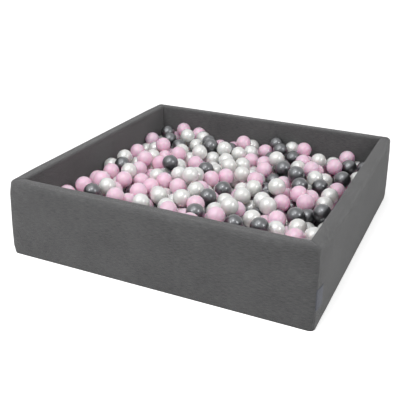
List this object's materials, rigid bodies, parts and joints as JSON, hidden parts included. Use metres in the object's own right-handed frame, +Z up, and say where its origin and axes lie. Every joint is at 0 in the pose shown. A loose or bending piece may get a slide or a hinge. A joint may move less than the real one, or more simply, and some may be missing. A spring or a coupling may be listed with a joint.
{
  "type": "ball pit",
  "caption": "Square padded ball pit: foam walls in a dark grey zipped jersey cover, a drop-in floor mat and a heap of pink, pearl and graphite balls.",
  "frame": {"origin": "on the floor under the middle of the square pit", "axes": "+Z up; the front wall faces -Y and the right wall, with the tab, faces +X; the zip is low on the back wall, which faces +Y"},
  "size_m": [1.2015, 1.2055, 0.3],
  "materials": {
    "jersey": "matte",
    "mat_jersey": "matte",
    "base_fabric": "matte",
    "foam": "matte",
    "zip_tape": "matte",
    "zip_teeth": "satin",
    "zip_metal": "satin",
    "woven_tab": "matte",
    "ball_pink": "gloss",
    "ball_pearl": "gloss",
    "ball_graphite": "gloss"
  },
  "bodies": {
    "wall_ring": {"base_sheet": "base_fabric", "corner_tab": "woven_tab", "cover_back": "jersey", "cover_front": "jersey", "cover_left": "jersey", "cover_right": "jersey", "foam_wall_back": "foam", "foam_wall_front": "foam", "foam_wall_left": "foam", "foam_wall_right": "foam", "zip_stop_closed": "zip_metal", "zip_stop_open": "zip_metal", "zip_tape_lower": "zip_tape", "zip_tape_upper": "zip_tape", "zip_teeth_lower": "zip_teeth", "zip_teeth_upper": "zip_teeth"},
    "mat": {"mat_cover_bottom": "base_fabric", "mat_cover_top": "mat_jersey", "mat_foam": "foam"},
    "heap": {"ball_bed": "ball_pearl"},
    "loose_ball_01": {"ball_pearl_01": "ball_pearl"},
    "loose_ball_02": {"ball_graphite_02": "ball_graphite"},
    "loose_ball_03": {"ball_pink_03": "ball_pink"},
    "loose_ball_04": {"ball_pearl_04": "ball_pearl"},
    "loose_ball_05": {"ball_graphite_05": "ball_graphite"},
    "loose_ball_06": {"ball_pink_06": "ball_pink"},
    "loose_ball_07": {"ball_pearl_07": "ball_pearl"},
    "loose_ball_08": {"ball_graphite_08": "ball_graphite"},
    "loose_ball_09": {"ball_pink_09": "ball_pink"},
    "loose_ball_10": {"ball_pearl_10": "ball_pearl"},
    "loose_ball_11": {"ball_graphite_11": "ball_graphite"},
    "loose_ball_12": {"ball_pink_12": "ball_pink"},
    "loose_ball_13": {"ball_pearl_13": "ball_pearl"},
    "loose_ball_14": {"ball_graphite_14": "ball_graphite"},
    "loose_ball_15": {"ball_pink_15": "ball_pink"},
    "loose_ball_16": {"ball_pearl_16": "ball_pearl"},
    "loose_ball_17": {"ball_graphite_17": "ball_graphite"},
    "loose_ball_18": {"ball_pink_18": "ball_pink"},
    "loose_ball_19": {"ball_pearl_19": "ball_pearl"},
    "loose_ball_20": {"ball_graphite_20": "ball_graphite"},
    "loose_ball_21": {"ball_pink_21": "ball_pink"},
    "loose_ball_22": {"ball_pearl_22": "ball_pearl"},
    "loose_ball_23": {"ball_graphite_23": "ball_graphite"},
    "loose_ball_24": {"ball_pink_24": "ball_pink"},
    "zip_slider": {"zip_slider": "zip_metal"},
    "zip_pull": {"zip_pull": "zip_metal"}
  },
  "joints": [
    {"name": "mat_lift", "type": "slide", "parent": "wall_ring", "child": "mat", "axis": [0, 0, 1], "range_m": [0, 0.31]},
    {"name": "heap_lift", "type": "slide", "parent": "mat", "child": "heap", "axis": [0, 0, 1], "range_m": [0, 0.26]},
    {"name": "ball_lift_01", "type": "slide", "parent": "heap", "child": "loose_ball_01", "axis": [0, 0, 1], "range_m": [0, 0.15]},
    {"name": "ball_lift_02", "type": "slide", "parent": "heap", "child": "loose_ball_02", "axis": [0, 0, 1], "range_m": [0, 0.15]},
    {"name": "ball_lift_03", "type": "slide", "parent": "heap", "child": "loose_ball_03", "axis": [0, 0, 1], "range_m": [0, 0.15]},
    {"name": "ball_lift_04", "type": "slide", "parent": "heap", "child": "loose_ball_04", "axis": [0, 0, 1], "range_m": [0, 0.15]},
    {"name": "ball_lift_05", "type": "slide", "parent": "heap", "child": "loose_ball_05", "axis": [0, 0, 1], "range_m": [0, 0.15]},
    {"name": "ball_lift_06", "type": "slide", "parent": "heap", "child": "loose_ball_06", "axis": [0, 0, 1], "range_m": [0, 0.15]},
    {"name": "ball_lift_07", "type": "slide", "parent": "heap", "child": "loose_ball_07", "axis": [0, 0, 1], "range_m": [0, 0.15]},
    {"name": "ball_lift_08", "type": "slide", "parent": "heap", "child": "loose_ball_08", "axis": [0, 0, 1], "range_m": [0, 0.15]},
    {"name": "ball_lift_09", "type": "slide", "parent": "heap", "child": "loose_ball_09", "axis": [0, 0, 1], "range_m": [0, 0.15]},
    {"name": "ball_lift_10", "type": "slide", "parent": "heap", "child": "loose_ball_10", "axis": [0, 0, 1], "range_m": [0, 0.15]},
    {"name": "ball_lift_11", "type": "slide", "parent": "heap", "child": "loose_ball_11", "axis": [0, 0, 1], "range_m": [0, 0.15]},
    {"name": "ball_lift_12", "type": "slide", "parent": "heap", "child": "loose_ball_12", "axis": [0, 0, 1], "range_m": [0, 0.15]},
    {"name": "ball_lift_13", "type": "slide", "parent": "heap", "child": "loose_ball_13", "axis": [0, 0, 1], "range_m": [0, 0.15]},
    {"name": "ball_lift_14", "type": "slide", "parent": "heap", "child": "loose_ball_14", "axis": [0, 0, 1], "range_m": [0, 0.15]},
    {"name": "ball_lift_15", "type": "slide", "parent": "heap", "child": "loose_ball_15", "axis": [0, 0, 1], "range_m": [0, 0.15]},
    {"name": "ball_lift_16", "type": "slide", "parent": "heap", "child": "loose_ball_16", "axis": [0, 0, 1], "range_m": [0, 0.15]},
    {"name": "ball_lift_17", "type": "slide", "parent": "heap", "child": "loose_ball_17", "axis": [0, 0, 1], "range_m": [0, 0.15]},
    {"name": "ball_lift_18", "type": "slide", "parent": "heap", "child": "loose_ball_18", "axis": [0, 0, 1], "range_m": [0, 0.15]},
    {"name": "ball_lift_19", "type": "slide", "parent": "heap", "child": "loose_ball_19", "axis": [0, 0, 1], "range_m": [0, 0.15]},
    {"name": "ball_lift_20", "type": "slide", "parent": "heap", "child": "loose_ball_20", "axis": [0, 0, 1], "range_m": [0, 0.15]},
    {"name": "ball_lift_21", "type": "slide", "parent": "heap", "child": "loose_ball_21", "axis": [0, 0, 1], "range_m": [0, 0.15]},
    {"name": "ball_lift_22", "type": "slide", "parent": "heap", "child": "loose_ball_22", "axis": [0, 0, 1], "range_m": [0, 0.15]},
    {"name": "ball_lift_23", "type": "slide", "parent": "heap", "child": "loose_ball_23", "axis": [0, 0, 1], "range_m": [0, 0.15]},
    {"name": "ball_lift_24", "type": "slide", "parent": "heap", "child": "loose_ball_24", "axis": [0, 0, 1], "range_m": [0, 0.15]},
    {"name": "slider_travel", "type": "slide", "parent": "wall_ring", "child": "zip_slider", "axis": [-1, 0, 0], "range_m": [0, 0.879]},
    {"name": "pull_swing", "type": "hinge", "parent": "zip_slider", "child": "zip_pull", "pos_m": [0.4396, 0.6027, 0.042], "axis": [0, 0, -1], "range_deg": [0, 180]}
  ]
}
